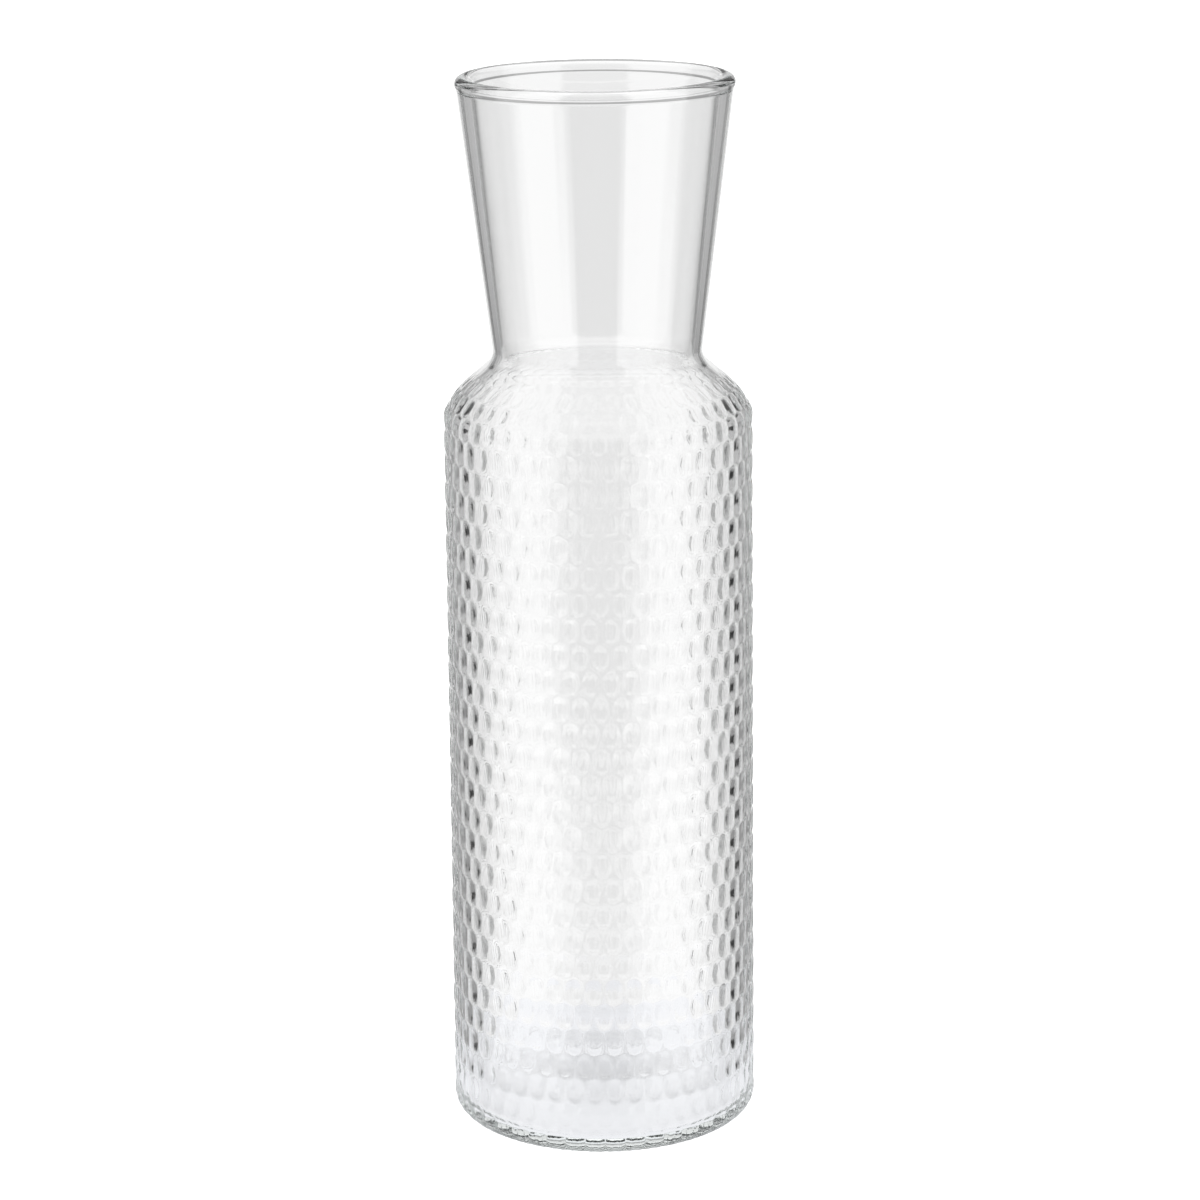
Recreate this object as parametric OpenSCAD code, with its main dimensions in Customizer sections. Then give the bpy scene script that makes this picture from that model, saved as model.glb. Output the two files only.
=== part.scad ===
/* [Overall] */
// Height from the table to the top of the rim
total_h = 279; // [265:1:300]
// Thickness of the glass in the body, neck and shoulder
wall = 2.1; // [1.8:0.1:3]

/* [Base] */
// Outer radius of the rounded edge between the base and the body
base_edge_r = 4; // [3.5:0.5:7]
// Width of the flat ring that the carafe stands on
foot_ring_w = 6; // [4:0.5:9]
// Thickness of the floor
floor_t = 4; // [3:0.5:6]
// Rise of the hollow under the middle of the base
punt_h = 2; // [1:0.5:4]

/* [Body] */
// Diameter of the body just above the base, over its raised ovals
body_foot_d = 81.6; // [76:0.2:86]
// Diameter of the body just below the shoulder, over its raised ovals
body_top_d = 80.4; // [76:0.2:86]
// Height at which the body turns into the shoulder
shoulder_z = 192.6; // [180:0.2:200]

/* [Shoulder] */
// Diameter at the knee, where the slope of the shoulder becomes flatter
knee_d = 73; // [70:0.2:76]
// Rise of the steep lower slope, from the body to the knee
steep_rise = 5.4; // [4.5:0.1:6.5]
// Rise of the flatter upper slope, from the knee to the neck
flat_rise = 8.2; // [7.5:0.1:9.5]

/* [Neck] */
// Outer diameter at the throat, the narrowest place
throat_d = 53.8; // [48:0.2:58]
// Outer diameter of the neck just below the rim
mouth_d = 71.2; // [64:0.2:74]

/* [Rim] */
// Outer diameter of the rim, over its rounded bead
rim_d = 71.6; // [65:0.2:75]
// Thickness of the fire-polished bead
bead_t = 4; // [2.6:0.1:4.6]

/* [Hidden] */
$fn = 128;
arc_steps = 8;

glass_colour = [0.86, 0.92, 0.91, 0.45];

// Radii that soften the corners of the outline, from the body up to the throat
shoulder_blend_r = 5;
knee_blend_r = 8;
throat_blend_r = 4.5;
floor_blend_r = base_edge_r - 1.6;

throat_z = shoulder_z + steep_rise + flat_rise;
bead_z = total_h - bead_t / 2;
bead_centre_r = (rim_d - bead_t) / 2;
foot_out_r = body_foot_d / 2 - base_edge_r;
foot_in_r = foot_out_r - foot_ring_w;
punt_sphere_r = (pow(foot_in_r, 2) + pow(punt_h, 2)) / (2 * punt_h);
punt_centre_z = punt_h - punt_sphere_r;

// Corners of the outside, as [radius, height], from the middle of the base to the mouth
corners = [
    [0, 0],
    [body_foot_d / 2, 0],
    [body_top_d / 2, shoulder_z],
    [knee_d / 2, shoulder_z + steep_rise],
    [throat_d / 2, throat_z],
    [mouth_d / 2, bead_z]
];
outer_blends = [0, base_edge_r, shoulder_blend_r, knee_blend_r, throat_blend_r, 0];
inner_blends = [0, floor_blend_r, shoulder_blend_r - wall, knee_blend_r - wall, throat_blend_r + wall, 0];

function unit(v) = v / norm(v);

// Corner b of the path a-b-c, moved inwards so that both edges shift by their thicknesses
function inset(a, b, c, t_in, t_out) =
    let (u = unit(b - a), v = unit(c - b), turn = u[0] * v[1] - u[1] * v[0])
    b + (t_in * v - t_out * u) / turn;

// Points of the arc that rounds corner b of the path a-b-c
function rounded(a, b, c, r) =
    let (
        u = unit(a - b),
        v = unit(c - b),
        half = acos(u * v) / 2,
        centre = b + unit(u + v) * r / sin(half),
        p = b + u * r / tan(half) - centre,
        q = b + v * r / tan(half) - centre
    )
    [for (i = [0:arc_steps])
        let (t = i / arc_steps, sweep = 180 - 2 * half)
        centre + (p * sin((1 - t) * sweep) + q * sin(t * sweep)) / sin(sweep)];

// A whole path with each inner corner rounded by its blend
function blended(path, blends) =
    let (last = len(path) - 1)
    concat(
        [path[0]],
        [for (i = [1:last - 1]) each rounded(path[i - 1], path[i], path[i + 1], blends[i])],
        [path[last]]
    );

// The inside runs parallel to the outside, floor_t above the base and wall inside the rest
inside_corners = concat(
    [[0, floor_t]],
    [for (i = [1:4])
        inset(corners[i - 1], corners[i], corners[i + 1], i == 1 ? floor_t : wall, wall)],
    [[corners[5][0] - wall, bead_z]]
);

module vessel_outline() {
    outside = blended(corners, outer_blends);
    inside = blended(inside_corners, inner_blends);
    polygon(concat(outside, [for (i = [len(inside) - 1:-1:0]) inside[i]]));
}

module rim_bead() {
    translate([bead_centre_r, bead_z]) circle(d = bead_t, $fn = 48);
}

// The middle of the floor rises over the hollow, at the same thickness
module raised_floor() {
    intersection() {
        translate([0, 0, punt_centre_z]) sphere(r = punt_sphere_r + floor_t);
        cylinder(r = foot_in_r, h = punt_h + floor_t);
    }
}

module glass_vessel() {
    color(glass_colour)
    difference() {
        union() {
            rotate_extrude() {
                vessel_outline();
                rim_bead();
            }
            raised_floor();
        }
        translate([0, 0, punt_centre_z]) sphere(r = punt_sphere_r);
    }
}

glass_vessel();
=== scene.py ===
from math import cos, pi, radians, sin, sqrt, tan

import bmesh
import bpy
from mathutils import Matrix, Vector


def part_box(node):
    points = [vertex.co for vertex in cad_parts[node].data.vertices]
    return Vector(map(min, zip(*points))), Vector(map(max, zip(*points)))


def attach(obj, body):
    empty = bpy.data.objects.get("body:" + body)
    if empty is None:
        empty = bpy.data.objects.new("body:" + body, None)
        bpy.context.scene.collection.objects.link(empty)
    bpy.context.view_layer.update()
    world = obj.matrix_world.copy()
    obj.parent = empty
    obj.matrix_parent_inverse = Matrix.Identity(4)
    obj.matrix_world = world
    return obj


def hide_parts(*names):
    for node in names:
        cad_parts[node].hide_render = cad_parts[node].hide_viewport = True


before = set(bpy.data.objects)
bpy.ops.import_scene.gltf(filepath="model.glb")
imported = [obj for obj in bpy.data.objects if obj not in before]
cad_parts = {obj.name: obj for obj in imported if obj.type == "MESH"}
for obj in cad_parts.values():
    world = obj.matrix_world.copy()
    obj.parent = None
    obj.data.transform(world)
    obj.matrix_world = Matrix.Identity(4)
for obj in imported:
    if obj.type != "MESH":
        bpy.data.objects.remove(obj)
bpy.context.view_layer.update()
scene = bpy.context.scene
scene.view_settings.view_transform = "Standard"
# Light runs a long way inside the foot and the walls of clear glass before it leaves them
scene.cycles.max_bounces = 32
scene.cycles.glossy_bounces = 32
scene.cycles.transmission_bounces = 32

# Glass vessel: the whole carafe, from the foot ring to the fire-polished rim.
# It is one piece of clear, faintly green glass, blown into a mould that is cut with rows of ovals.
# The inside stays smooth, and the rim is melted round after the neck is cut off.
low_corner, high_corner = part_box("glass_vessel")
height = high_corner.z
foot_r = high_corner.x
wall = 0.0021
edge_r = 0.004
foot_ring = 0.006
floor_t = 0.004
punt_h = 0.002
body_top_r = 0.0402
shoulder_z = 0.1926
knee_r = 0.0365
knee_z = shoulder_z + 0.0054
throat_r = 0.0269
throat_z = knee_z + 0.0082
mouth_r = 0.0356
rim_r = 0.0358
bead_r = 0.002
bead_z = height - bead_r
# Radii that soften the corners of the outline, and of the corner between the floor and the inside
shoulder_blend = 0.005
knee_blend = 0.008
throat_blend = 0.0045
floor_blend = edge_r - 0.0016

# Ovals: columns round the carafe, rows up it, and the shape of one oval as shares of its place.
# Each ring of an oval is a share of its outline and of its height.
columns = 48
row_pitch = 0.00695
lowest_row_z = 0.0007
body_rows = 28
steep_row_z = 0.1944
flat_row_z = 0.1986
band_top_z = 0.2023
relief = 0.0004
oval_width = 0.98
oval_height = 1.06
oval_power = 2.1
oval_tip = 0.06
oval_height_range = (0.85, 1.0)
side_steps = 2
slant_steps = 2
oval_rings = ((0.45, 0.92), (0.75, 0.6), (1, 0))
samples_per_row = 8


def turned(a, b, c, radius, steps=7):
    """Points of the arc that rounds corner b of the path a, b, c."""
    a, b, c = Vector(a), Vector(b), Vector(c)
    if radius == 0:
        return [b]
    to_a = (a - b).normalized()
    to_c = (c - b).normalized()
    half = to_a.angle(to_c) / 2
    centre = b + (to_a + to_c).normalized() * radius / sin(half)
    start = b + to_a * radius / tan(half) - centre
    end = b + to_c * radius / tan(half) - centre
    sweep = pi - 2 * half
    points = []
    for i in range(steps + 1):
        share = i / steps
        arm = (start * sin((1 - share) * sweep) + end * sin(share * sweep)) / sin(sweep)
        points.append(centre + arm)
    return points


def inset_corner(a, b, c, before, after):
    """Corner b of the path a, b, c, with the edge before it and the edge after it moved inwards."""
    u = (Vector(b) - Vector(a)).normalized()
    v = (Vector(c) - Vector(b)).normalized()
    turn = u.x * v.y - u.y * v.x
    return Vector(b) + (before * v - after * u) / turn


def blended(corners, radii):
    """The path through the corners, as (radius, height), with each inner corner rounded."""
    path = [Vector(corners[0])]
    for i in range(1, len(corners) - 1):
        path += turned(corners[i - 1], corners[i], corners[i + 1], radii[i - 1])
    return path + [Vector(corners[-1])]


def spherical_cap(height_at_axis, radius, base_z, steps):
    """A shallow dome from the axis out to the radius, as (radius, height)."""
    ball = (radius ** 2 + height_at_axis ** 2) / (2 * height_at_axis)
    points = []
    for i in range(steps + 1):
        r = radius * i / steps
        points.append(Vector((r, base_z + sqrt(ball ** 2 - r ** 2) - ball + height_at_axis)))
    return points


outer_corners = [
    (0, 0),
    (foot_r, 0),
    (body_top_r, shoulder_z),
    (knee_r, knee_z),
    (throat_r, throat_z),
    (mouth_r, bead_z),
]
outer = blended(outer_corners, [edge_r, shoulder_blend, knee_blend, throat_blend])
inner_corners = [Vector((0, floor_t))]
for i in range(1, 5):
    below = floor_t if i == 1 else wall
    inner_corners.append(inset_corner(*outer_corners[i - 1:i + 2], below, wall))
inner_corners.append(Vector((mouth_r - wall, bead_z)))
inner_blends = [floor_blend, shoulder_blend - wall, knee_blend - wall, throat_blend + wall]
inner = blended(inner_corners, inner_blends)

# Lengths along the outside, so that a row of ovals can be laid on any part of it
lengths = [0.0]
for p, q in zip(outer, outer[1:]):
    lengths.append(lengths[-1] + (q - p).length)


def outside_at(length):
    """Point of the outside at a length along it, and the way that it faces there."""
    i = 0
    while i < len(lengths) - 2 and lengths[i + 1] < length:
        i += 1
    p, q = outer[i], outer[i + 1]
    share = (length - lengths[i]) / (lengths[i + 1] - lengths[i])
    along = (q - p).normalized()
    return p.lerp(q, share), Vector((along.y, -along.x))


def length_at(z):
    """Length along the outside at which it reaches height z."""
    i = 0
    while outer[i + 1].y < z:
        i += 1
    share = (z - outer[i].y) / (outer[i + 1].y - outer[i].y)
    return lengths[i] + share * (lengths[i + 1] - lengths[i])


row_edges = [lowest_row_z + i * row_pitch for i in range(body_rows)]
row_edges += [steep_row_z, flat_row_z, band_top_z]
rows = len(row_edges) - 1


def supported(points, guard=0.0006):
    """The path with a point by each end of every long straight, so that its shading stays flat."""
    path = [points[0]]
    for p, q in zip(points, points[1:]):
        span = (q - p).length
        if span > 5 * guard:
            path += [p.lerp(q, guard / span), q.lerp(p, guard / span)]
        path.append(q)
    return path


def faced(points):
    """Each point of a path with the way that the path faces there."""
    pairs = list(zip(points, points[1:] + [points[-1] * 2 - points[-2]]))
    return [(p, Vector(((q - p).y, (p - q).x)).normalized()) for p, q in pairs]


def strength_at(position):
    """How much of their full height the ovals have, so many rows above the lowest one's foot."""
    return min(1, 0.2 + 0.8 * position, 0.12 + 0.5 * (rows - position))


# The section from the middle of the underside, up the outside, over the rim and down to the floor
foot_out_r = foot_r - edge_r
foot_in_r = foot_out_r - foot_ring
foot_flat = supported([Vector((foot_in_r, 0)), Vector((foot_out_r, 0))])
dome_steps = 5
section = faced(spherical_cap(punt_h, foot_in_r, 0, dome_steps) + foot_flat[1:])
band_start = len(section)
for row in range(rows):
    start, end = length_at(row_edges[row]), length_at(row_edges[row + 1])
    for i in range(samples_per_row):
        point, facing = outside_at(start + (end - start) * i / samples_per_row)
        lift = facing * strength_at(row + i / samples_per_row)
        section.append((point - lift * relief, lift))
band_end = len(section)
# Above the ovals the wall comes back out to the full outline, as (length past the band, share of the relief)
fade_out = ((0, 1), (0.001, 0.85), (0.002, 0.45), (0.003, 0.1))
for step, share in fade_out:
    point, facing = outside_at(length_at(band_top_z) + step)
    section.append((point - facing * relief * strength_at(rows) * share, facing))
past_fade_z = band_top_z + 0.0021
throat = [p for p in outer if p.y > past_fade_z]
bead_centre = Vector((rim_r - bead_r, bead_z))
bead = []
bead_steps = 16
bead_start, bead_sweep = -40, 250
for i in range(bead_steps + 1):
    turn = radians(bead_start + bead_sweep * i / bead_steps)
    bead.append(bead_centre + Vector((cos(turn), sin(turn))) * bead_r)
inside = [p for p in reversed(inner) if p.x > foot_in_r or p.y > shoulder_z]
into_bead = 0.001
inside = [p for p in inside if p.y < bead_z - into_bead]
dome = list(reversed(spherical_cap(punt_h, foot_in_r, floor_t, dome_steps)))
section += faced(supported(throat[:-1] + bead + inside + dome[:1]) + dome[1:])

section_mesh = bpy.data.meshes.new("vessel_section")
section_mesh.from_pydata([(p.x, 0, p.y) for p, facing in section], [], [])
outward = section_mesh.attributes.new("outward", "FLOAT_VECTOR", "POINT")
for i, (p, facing) in enumerate(section):
    outward.data[i].vector = (facing.x, 0, facing.y)
vessel = bpy.data.objects.new("glass_vessel_shell", section_mesh)
scene.collection.objects.link(vessel)


def oval_tile(name, rings):
    """One oval on its place in the pattern, one column wide and one row high, with its top at height 1."""
    side_top = 0.5 - oval_tip
    half_edge = [Vector((0.5, side_top * (2 * i / side_steps - 1))) for i in range(side_steps)]
    for i in range(2 * slant_steps):
        across = 0.5 - 0.5 * i / slant_steps
        half_edge.append(Vector((across, 0.5 + oval_tip - 4 * oval_tip * abs(across))))
    edge = half_edge + [-p for p in half_edge]
    outline = []
    for p in edge:
        size = abs(2 * p.x / oval_width) ** oval_power + abs(2 * p.y / oval_height) ** oval_power
        outline.append(p / size ** (1 / oval_power))
    corners = [(0, 0, 1)]
    for share, rise in rings:
        corners += [(p.x * share, p.y * share, rise) for p in outline]
    corners += [(p.x, p.y, 0) for p in edge]
    count = len(edge)
    faces = []
    for i in range(count):
        j = (i + 1) % count
        faces.append((0, 1 + i, 1 + j))
        for ring in range(len(rings)):
            first = 1 + ring * count
            faces.append((first + i, first + count + i, first + count + j, first + j))
    mesh = bpy.data.meshes.new(name)
    mesh.from_pydata(corners, [], faces)
    made = bpy.data.objects.new(name, mesh)
    scene.collection.objects.link(made)
    return made


tile = oval_tile("oval", oval_rings)


class Tree:
    """A Geometry Nodes tree, with short ways to add a node and to join its sockets."""

    def __init__(self, name):
        self.tree = bpy.data.node_groups.new(name, "GeometryNodeTree")
        self.tree.interface.new_socket("Geometry", in_out="INPUT", socket_type="NodeSocketGeometry")
        self.tree.interface.new_socket("Geometry", in_out="OUTPUT", socket_type="NodeSocketGeometry")
        self.inputs = self.tree.nodes.new("NodeGroupInput")
        self.outputs = self.tree.nodes.new("NodeGroupOutput")
        self.values = {}

    def named(self, name, kind, value):
        socket = self.tree.interface.new_socket(name, in_out="INPUT", socket_type="NodeSocket" + kind)
        self.values[socket.identifier] = value
        return self.inputs.outputs[name]

    def node(self, kind, links=None, **settings):
        made = self.tree.nodes.new(kind)
        for name, value in settings.items():
            setattr(made, name, value)
        for key, value in (links or {}).items():
            socket = made.inputs[key]
            if isinstance(value, bpy.types.NodeSocket):
                self.tree.links.new(value, socket)
            else:
                socket.default_value = value
        return made

    def math(self, operation, *values):
        return self.node("ShaderNodeMath", dict(enumerate(values)), operation=operation).outputs[0]


spin = Tree("spun_vessel_with_ovals")
section_in = spin.inputs.outputs["Geometry"]
in_columns = spin.named("Columns", "Int", columns)
in_rows = spin.named("Rows", "Int", rows)
in_relief = spin.named("Relief", "Float", relief)
in_tip = spin.named("Oval tip", "Float", oval_tip)
in_tile = spin.named("Oval", "Object", tile)
in_seed = spin.named("Seed", "Int", 4)
in_material = spin.named("Glass", "Material", None)


def position_parts():
    return spin.node("ShaderNodeSeparateXYZ", {0: spin.node("GeometryNodeInputPosition").outputs[0]}).outputs


def placed(geometry, *parts):
    spot = spin.node("ShaderNodeCombineXYZ", dict(enumerate(parts))).outputs[0]
    return spin.node("GeometryNodeSetPosition", {"Geometry": geometry, "Position": spot}).outputs[0]


def ovals_in_rows():
    """Rows of ovals, every second row shifted by half a column, at their places along the section."""
    grid = spin.node("GeometryNodeMeshGrid", {
        "Size X": spin.math("SUBTRACT", in_columns, 1.0), "Size Y": spin.math("SUBTRACT", in_rows, 1.0),
        "Vertices X": in_columns, "Vertices Y": in_rows}).outputs[0]
    x, y, z = position_parts()
    column = spin.math("ADD", x, spin.math("DIVIDE", in_columns, 2.0))
    half_rows = spin.math("DIVIDE", spin.math("SUBTRACT", in_rows, 1.0), 2.0)
    row = spin.math("ROUND", spin.math("ADD", y, half_rows))
    shifted = spin.math("ADD", column, spin.math("MULTIPLY", spin.math("MODULO", row, 2.0), 0.5))
    lattice = placed(grid, shifted, spin.math("ADD", row, 0.5))
    x, y, z = position_parts()
    number = spin.math("ROUND", spin.math("ADD", spin.math("MULTIPLY", y, 100.0), x))
    tall = spin.node("FunctionNodeRandomValue", {"ID": number, "Seed": in_seed}, data_type="FLOAT")
    limits = [s for s in tall.inputs if s.enabled and s.name in ("Min", "Max")]
    for socket, level in zip(limits, oval_height_range):
        socket.default_value = level
    rise = [s for s in tall.outputs if s.enabled][0]
    size = spin.node("ShaderNodeCombineXYZ", {0: 1.0, 1: 1.0, 2: rise}).outputs[0]
    shape = spin.node("GeometryNodeObjectInfo", {"Object": in_tile}).outputs["Geometry"]
    made = spin.node("GeometryNodeInstanceOnPoints", {
        "Points": lattice, "Instance": shape, "Scale": size}).outputs[0]
    made = spin.node("GeometryNodeRealizeInstances", {0: made}).outputs[0]
    x, y, z = position_parts()
    along = spin.math("ADD", spin.math("MULTIPLY", y, float(samples_per_row)), float(band_start))
    return placed(made, x, along, z)


def plain_sheet(first, last, first_phase, last_phase):
    """A smooth part of the vessel between two points of the section, cut to fit the ovals at its ends."""
    grid = spin.node("GeometryNodeMeshGrid", {
        "Size X": spin.math("MULTIPLY", in_columns, 1.0), "Size Y": float(last - first),
        "Vertices X": spin.math("ADD", spin.math("MULTIPLY", in_columns, 2.0 * slant_steps), 1.0),
        "Vertices Y": last - first + 1}).outputs[0]
    x, y, z = position_parts()
    u = spin.math("ADD", x, spin.math("DIVIDE", in_columns, 2.0))
    t = spin.math("ROUND", spin.math("ADD", y, (first + last) / 2))
    moved = t
    for end, phase, way in ((first, first_phase, 1.0), (last, last_phase, -1.0)):
        if phase is None:
            continue
        within = spin.math("FRACT", spin.math("ADD", u, phase))
        from_valley = spin.math("SUBTRACT", 0.5, spin.math("ABSOLUTE", spin.math("SUBTRACT", within, 0.5)))
        share = spin.math("SUBTRACT", spin.math("MULTIPLY", from_valley, 4.0), 1.0)
        reach = spin.math("MULTIPLY", spin.math("MULTIPLY", share, in_tip), way * samples_per_row)
        at_end = spin.math("COMPARE", t, float(end), 0.5)
        moved = spin.math("ADD", moved, spin.math("MULTIPLY", reach, at_end))
    return placed(grid, u, moved)


flat_vessel = spin.node("GeometryNodeJoinGeometry").outputs[0]
base_sheet = plain_sheet(0, band_start, None, 0.0)
upper_sheet = plain_sheet(band_end, len(section) - 1, 0.5, None)
for part in (ovals_in_rows(), base_sheet, upper_sheet):
    spin.tree.links.new(part, flat_vessel.node.inputs[0])

# Wrapping: across becomes the turn round the axis, and along becomes a point of the section
flat = spin.node("ShaderNodeSeparateXYZ", {0: spin.node("GeometryNodeInputPosition").outputs[0]})
before = spin.math("FLOOR", spin.math("ADD", flat.outputs[1], 0.0001))
between = spin.math("MAXIMUM", spin.math("SUBTRACT", flat.outputs[1], before), 0.0)


def section_value(field, index):
    return spin.node("GeometryNodeSampleIndex", {"Geometry": section_in, "Value": field, "Index": index},
                     data_type="FLOAT_VECTOR", domain="POINT", clamp=True).outputs[0]


def between_points(field):
    after = spin.math("ADD", before, 1.0)
    mixed = spin.node("ShaderNodeMix", {"Factor": between}, data_type="VECTOR")
    ends = [s for s in mixed.inputs if s.enabled and s.name in "AB"]
    spin.tree.links.new(section_value(field, before), ends[0])
    spin.tree.links.new(section_value(field, after), ends[1])
    return [s for s in mixed.outputs if s.enabled][0]


section_point = between_points(spin.node("GeometryNodeInputPosition").outputs[0])
facing_name = spin.node("GeometryNodeInputNamedAttribute", {"Name": "outward"}, data_type="FLOAT_VECTOR")
section_facing = between_points([s for s in facing_name.outputs if s.enabled][0])
rise = spin.math("MULTIPLY", flat.outputs[2], in_relief)
lift = spin.node("ShaderNodeVectorMath", {0: section_facing, "Scale": rise}, operation="SCALE").outputs[0]
point = spin.node("ShaderNodeVectorMath", {0: section_point, 1: lift}, operation="ADD").outputs[0]
turn = spin.math("MULTIPLY", spin.math("DIVIDE", flat.outputs[0], in_columns), 2 * pi)
spun = spin.node("ShaderNodeVectorRotate", {"Vector": point, "Axis": (0, 0, 1),
                 "Angle": spin.math("SUBTRACT", turn, pi / 2)}, rotation_type="AXIS_ANGLE").outputs[0]
weld = 0.000004
vessel_out = spin.node("GeometryNodeSetPosition", {"Geometry": flat_vessel, "Position": spun}).outputs[0]
vessel_out = spin.node("GeometryNodeMergeByDistance", {
    "Geometry": vessel_out, "Distance": weld}).outputs[0]
vessel_out = spin.node("GeometryNodeSetShadeSmooth", {"Geometry": vessel_out}).outputs[0]
vessel_out = spin.node("GeometryNodeRealizeInstances", {0: vessel_out}).outputs[0]
vessel_out = spin.node("GeometryNodeSetMaterial", {
    "Geometry": vessel_out, "Material": in_material}).outputs[0]
spin.tree.links.new(vessel_out, spin.outputs.inputs["Geometry"])

# Clear glass: smooth and colourless, with a faint green from its iron where it is seen edge on
glass = bpy.data.materials.new("clear_glass")
glass.use_nodes = True
nodes = glass.node_tree.nodes
links = glass.node_tree.links
body = nodes["Principled BSDF"]
body.inputs["Base Color"].default_value = (1, 1, 1, 1)
body.inputs["Transmission Weight"].default_value = 1
body.inputs["Roughness"].default_value = 0
body.inputs["IOR"].default_value = 1.5
# Flow marks left by blowing: long faint waves along the wall, and a trace of haze between them
place = nodes.new("ShaderNodeTexCoord")
stretch = nodes.new("ShaderNodeMapping")
stretch.inputs["Scale"].default_value = (1, 1, 0.3)
links.new(place.outputs["Object"], stretch.inputs["Vector"])
flow = nodes.new("ShaderNodeTexNoise")
flow.inputs["Scale"].default_value = 90
flow.inputs["Detail"].default_value = 1
links.new(stretch.outputs["Vector"], flow.inputs["Vector"])
wave = nodes.new("ShaderNodeBump")
wave.inputs["Strength"].default_value = 0.03
wave.inputs["Distance"].default_value = 0.0003
links.new(flow.outputs[0], wave.inputs["Height"])
links.new(wave.outputs["Normal"], body.inputs["Normal"])
haze = nodes.new("ShaderNodeMapRange")
haze.inputs["From Min"].default_value = 0.5
haze.inputs["To Max"].default_value = 0.004
links.new(flow.outputs[0], haze.inputs["Value"])
links.new(haze.outputs["Result"], body.inputs["Roughness"])
tint = nodes.new("ShaderNodeVolumeAbsorption")
tint.inputs["Color"].default_value = (0.80, 0.93, 0.89, 1)
tint.inputs["Density"].default_value = 3
clear = nodes.new("ShaderNodeBsdfTransparent")
clear.inputs["Color"].default_value = (0.9, 0.9, 0.9, 1)
path = nodes.new("ShaderNodeLightPath")
mix = nodes.new("ShaderNodeMixShader")
surface = nodes["Material Output"]
links.new(path.outputs["Is Shadow Ray"], mix.inputs[0])
links.new(body.outputs[0], mix.inputs[1])
links.new(clear.outputs[0], mix.inputs[2])
links.new(mix.outputs[0], surface.inputs["Surface"])
links.new(tint.outputs[0], surface.inputs["Volume"])

spinner = vessel.modifiers.new("ovals", "NODES")
spinner.node_group = spin.tree
for identifier, value in spin.values.items():
    spinner[identifier] = glass if value is None else value
evaluated = vessel.evaluated_get(bpy.context.evaluated_depsgraph_get())
finished = bpy.data.meshes.new_from_object(evaluated)
vessel.modifiers.remove(spinner)
vessel.data = finished
bpy.data.objects.remove(tile)
solid = bmesh.new()
solid.from_mesh(finished)
bmesh.ops.recalc_face_normals(solid, faces=solid.faces)
solid.to_mesh(finished)
solid.free()
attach(vessel, "root")
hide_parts("glass_vessel")

# Camera: a long lens a little above the rim, looking down at the carafe
view_distance = 0.930
view_height = 0.3907
view_pitch = radians(15.04)
view_roll = radians(0.568)
camera_data = bpy.data.cameras.new("camera")
camera_data.lens = 109.57
camera_data.sensor_width = 36
camera = bpy.data.objects.new("camera", camera_data)
scene.collection.objects.link(camera)
camera.matrix_world = (Matrix.Translation((0, -view_distance, view_height))
                       @ Matrix.Rotation(radians(90) - view_pitch, 4, "X")
                       @ Matrix.Rotation(-view_roll, 4, "Z"))
scene.camera = camera

# Light: a white backdrop, dark gaps beside it and two tall soft lamps on the camera's side.
# The glass shows them by direction: 0 degrees is straight behind the carafe and 180 is the camera.
# Each level has its own ring of tones, and the levels go from straight down to straight up.
soft_edge = 1.5
level_edge = 1.5
sheet_tone = 0.8
steep_ring = [(-180, 1.6), (-85, 0.45), (85, 1.6)]
fore_ring = [
    (-180, 1.6), (-85, 0.3), (-42, 0.45), (-28, 0.015), (-20, 1.0),
    (20, 0.015), (28, 0.45), (42, 0.3), (85, 1.6),
]
low_ring = [
    (-180, 0.08), (-158, 1.35), (-82, 0.3), (-42, 0.45), (-28, 0.015), (-20, 0.95),
    (20, 0.015), (28, 0.45), (42, 0.3), (92, 1.35), (158, 0.08),
]
body_ring = [
    (-180, 0.08), (-142, 1.3), (-110, 0.6), (-88, 0.2), (-70, 0.01), (-52, 0.3), (-22, 0.9),
    (18, 0.3), (48, 0.01), (64, 0.2), (88, 0.6), (112, 1.3), (152, 0.08),
]
neck_ring = [
    (-180, 0.08), (-150, 1.35), (-85, 0.2), (-65, 0.5), (-28, 0.13), (-18, 0.9),
    (18, 0.13), (28, 0.5), (65, 0.2), (92, 1.35), (150, 0.08),
]
high_ring = [
    (-180, 0.08), (-148, 1.35), (-82, 0.03), (-25, 0.4), (25, 0.03), (92, 1.35), (148, 0.08),
]
upper_ring = [(-180, 0.6), (-148, 1.35), (-82, 0.75), (92, 1.35), (148, 0.6)]
top_ring = [(-180, 1.1)]
rings = [
    (None, steep_ring), (-42, fore_ring), (-30, low_ring), (-19.5, body_ring), (-12.5, neck_ring),
    (9, high_ring), (24, upper_ring), (45, top_ring),
]


def shader_math(tree, operation, *values):
    """A Math node whose inputs are sockets or numbers."""
    made = tree.nodes.new("ShaderNodeMath")
    made.operation = operation
    for i, value in enumerate(values):
        if isinstance(value, bpy.types.NodeSocket):
            tree.links.new(value, made.inputs[i])
        else:
            made.inputs[i].default_value = value
    return made.outputs[0]


def tone_of_ring(tree, share, arcs):
    """Brightness of one level of the studio, as a ramp round the circle."""
    ramp = tree.nodes.new("ShaderNodeValToRGB")
    stops = ramp.color_ramp.elements
    tone_before = arcs[0][1]
    stops[0].position = 0
    stops[0].color = (tone_before, tone_before, tone_before, 1)
    stops[1].position = 1
    stops[1].color = stops[0].color
    for angle, tone in arcs[1:]:
        for edge, level in ((angle - soft_edge, tone_before), (angle + soft_edge, tone)):
            stop = stops.new((edge + 180) / 360)
            stop.color = (level, level, level, 1)
        tone_before = tone
    tree.links.new(share, ramp.inputs[0])
    return ramp.outputs[0]


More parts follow.
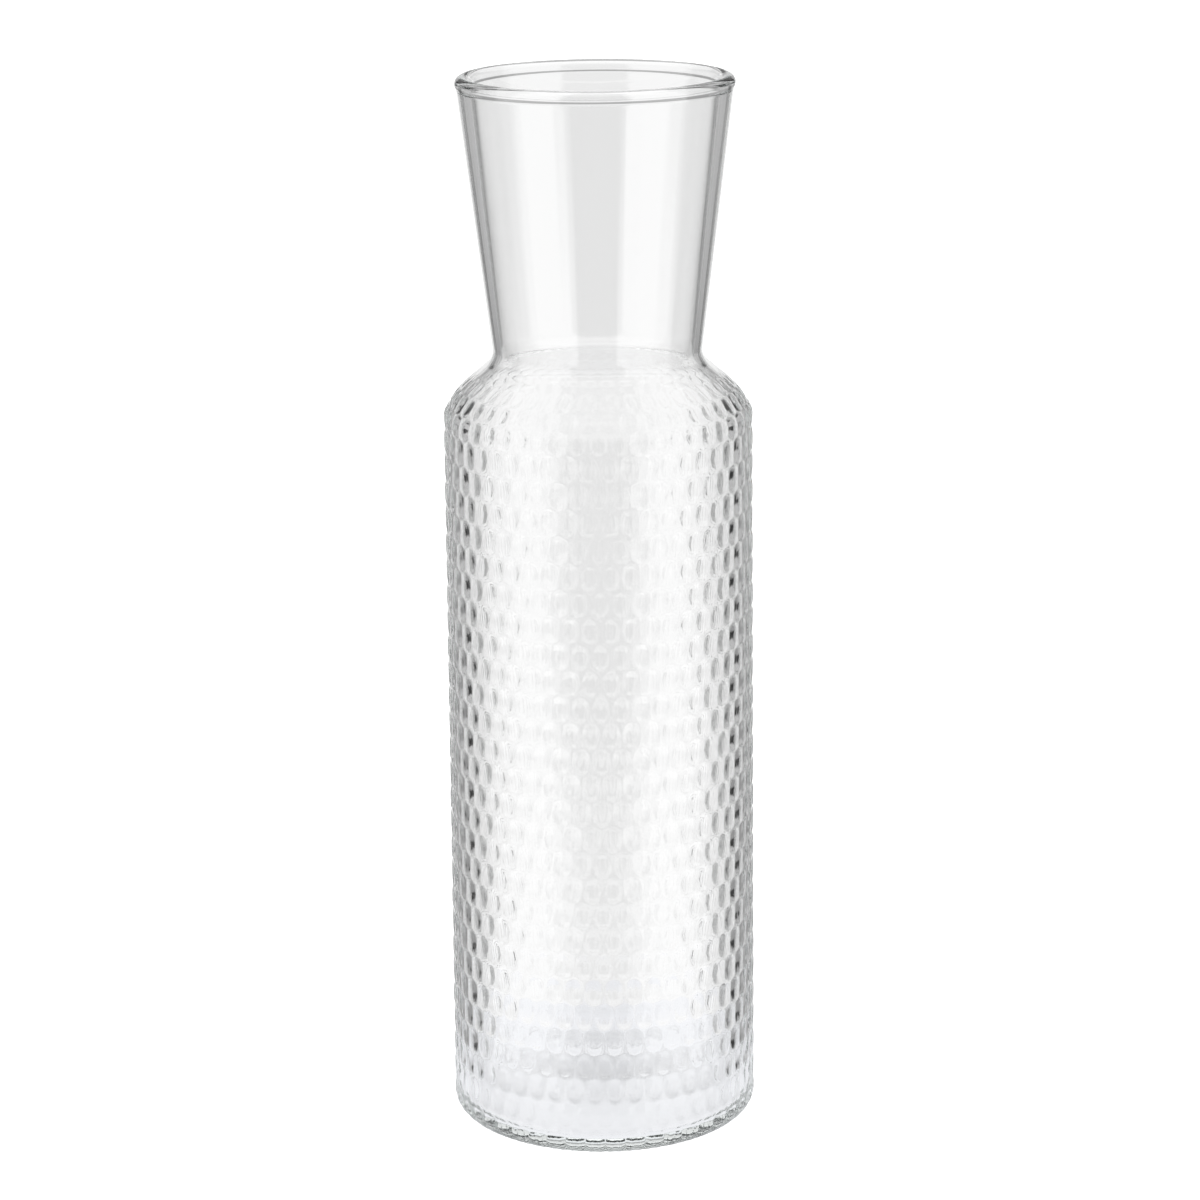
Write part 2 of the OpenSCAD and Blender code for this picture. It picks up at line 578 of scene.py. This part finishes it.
def smooth_step(tree, value, low, high, at_low=0.0, at_high=1.0):
    """A value that goes smoothly from one level to another between two limits."""
    made = tree.nodes.new("ShaderNodeMapRange")
    made.interpolation_type = "SMOOTHSTEP"
    tree.links.new(value, made.inputs["Value"])
    for name, number in (("From Min", low), ("From Max", high), ("To Min", at_low), ("To Max", at_high)):
        made.inputs[name].default_value = number
    return made.outputs[0]


world = bpy.data.worlds.new("studio")
scene.world = world
world.use_nodes = True
tree = world.node_tree
direction = tree.nodes.new("ShaderNodeSeparateXYZ")
tree.links.new(tree.nodes.new("ShaderNodeTexCoord").outputs["Generated"], direction.inputs[0])
turn = shader_math(tree, "ARCTAN2", direction.outputs[0], direction.outputs[1])
share = shader_math(tree, "ADD", shader_math(tree, "DIVIDE", turn, 2 * pi), 0.5)
tone = None
for lower_edge, arcs in rings:
    ring_tone = tone_of_ring(tree, share, arcs)
    if tone is None:
        tone = ring_tone
        continue
    low, high = sin(radians(lower_edge - level_edge)), sin(radians(lower_edge + level_edge))
    above = smooth_step(tree, direction.outputs[2], low, high)
    both = tree.nodes.new("ShaderNodeMix")
    tree.links.new(above, both.inputs["Factor"])
    tree.links.new(tone, both.inputs["A"])
    tree.links.new(ring_tone, both.inputs["B"])
    tone = both.outputs[0]
# The lamps show as reflections. Light that only passes through the glass sees a plain sheet on their
# side of the room, so that the carafe also reads as clear glass when it is looked at from behind.
path = tree.nodes.new("ShaderNodeLightPath")
reflected = shader_math(tree, "MINIMUM", path.outputs["Glossy Depth"], 1.0)
lamp_side = smooth_step(tree, direction.outputs[1], 0.0, 0.15, 1.0, 0.0)
sheet_share = shader_math(tree, "MULTIPLY", lamp_side, shader_math(tree, "SUBTRACT", 1.0, reflected))
room = tree.nodes.new("ShaderNodeMix")
tree.links.new(sheet_share, room.inputs["Factor"])
tree.links.new(tone, room.inputs["A"])
room.inputs["B"].default_value = sheet_tone
seen = tree.nodes.new("ShaderNodeMix")
tree.links.new(path.outputs["Is Camera Ray"], seen.inputs["Factor"])
tree.links.new(room.outputs[0], seen.inputs["A"])
seen.inputs["B"].default_value = 1
tree.links.new(seen.outputs[0], tree.nodes["Background"].inputs["Color"])

# Floor: a pale plain sheet that the carafe stands on
floor_mesh = bpy.data.meshes.new("floor")
reach = 6
under_foot = -0.0002
disc_r = 0.06
disc_fade_r = 0.085
floor_corners = [(-reach, -reach), (reach, -reach), (reach, reach), (-reach, reach)]
floor_mesh.from_pydata([(x, y, under_foot) for x, y in floor_corners], [], [(0, 1, 2, 3)])
floor = bpy.data.objects.new("floor", floor_mesh)
scene.collection.objects.link(floor)
paper = bpy.data.materials.new("floor_paper")
paper.use_nodes = True
tree = paper.node_tree
matt = tree.nodes["Principled BSDF"]
matt.inputs["Base Color"].default_value = (0.8, 0.8, 0.8, 1)
matt.inputs["Roughness"].default_value = 1
matt.inputs["Specular IOR Level"].default_value = 0
glow = tree.nodes.new("ShaderNodeEmission")
glow.inputs["Strength"].default_value = 0.8
lit = tree.nodes.new("ShaderNodeAddShader")
tree.links.new(matt.outputs[0], lit.inputs[0])
tree.links.new(glow.outputs[0], lit.inputs[1])
# The glass sees a white disc close to its foot, and beyond it the studio by direction alone
spot = tree.nodes.new("ShaderNodeVectorMath")
spot.operation = "LENGTH"
tree.links.new(tree.nodes.new("ShaderNodeTexCoord").outputs["Object"], spot.inputs[0])
beyond = smooth_step(tree, spot.outputs["Value"], disc_r, disc_fade_r)
disc = tree.nodes.new("ShaderNodeEmission")
disc.inputs["Color"].default_value = (0.88, 0.89, 0.92, 1)
clear = tree.nodes.new("ShaderNodeBsdfTransparent")
in_glass = tree.nodes.new("ShaderNodeMixShader")
tree.links.new(beyond, in_glass.inputs[0])
tree.links.new(disc.outputs[0], in_glass.inputs[1])
tree.links.new(clear.outputs[0], in_glass.inputs[2])
path = tree.nodes.new("ShaderNodeLightPath")
choose = tree.nodes.new("ShaderNodeMixShader")
tree.links.new(path.outputs["Is Camera Ray"], choose.inputs[0])
tree.links.new(in_glass.outputs[0], choose.inputs[1])
tree.links.new(lit.outputs[0], choose.inputs[2])
tree.links.new(choose.outputs[0], tree.nodes["Material Output"].inputs["Surface"])
floor_mesh.materials.append(paper)
